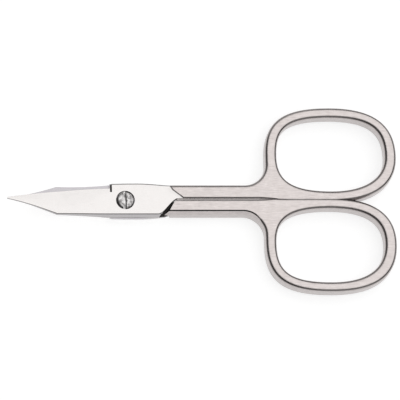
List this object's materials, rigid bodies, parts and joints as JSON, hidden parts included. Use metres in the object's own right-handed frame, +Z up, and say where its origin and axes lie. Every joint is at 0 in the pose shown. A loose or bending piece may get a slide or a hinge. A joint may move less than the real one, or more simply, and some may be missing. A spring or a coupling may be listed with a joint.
{
  "type": "nail scissors",
  "caption": "Small steel nail scissors with bent, pointed blades, oval finger rings and a slotted pivot screw.",
  "frame": {"origin": "middle of the closed scissors' outline, on the plane that they lie on", "axes": "+X from the blade tip towards the finger rings, +Y towards the front half's ring, +Z up from the surface they lie on, the side that the blades bend to"},
  "size_m": [0.09, 0.0438, 0.0063],
  "materials": {
    "front_half_steel": "brushed handle, polished joint plate and blade",
    "rear_half_steel": "brushed handle, polished joint plate and blade",
    "pivot_screw_steel": "polished"
  },
  "bodies": {
    "rear": {"rear_half": "rear_half_steel", "pivot_screw": "pivot_screw_steel"},
    "front": {"front_half": "front_half_steel"}
  },
  "joints": [
    {"name": "pivot", "type": "hinge", "parent": "rear", "child": "front", "pos_m": [-0.0177, 0, 0.0022], "axis": [0, 0, 1], "range_deg": [0, 130]}
  ]
}
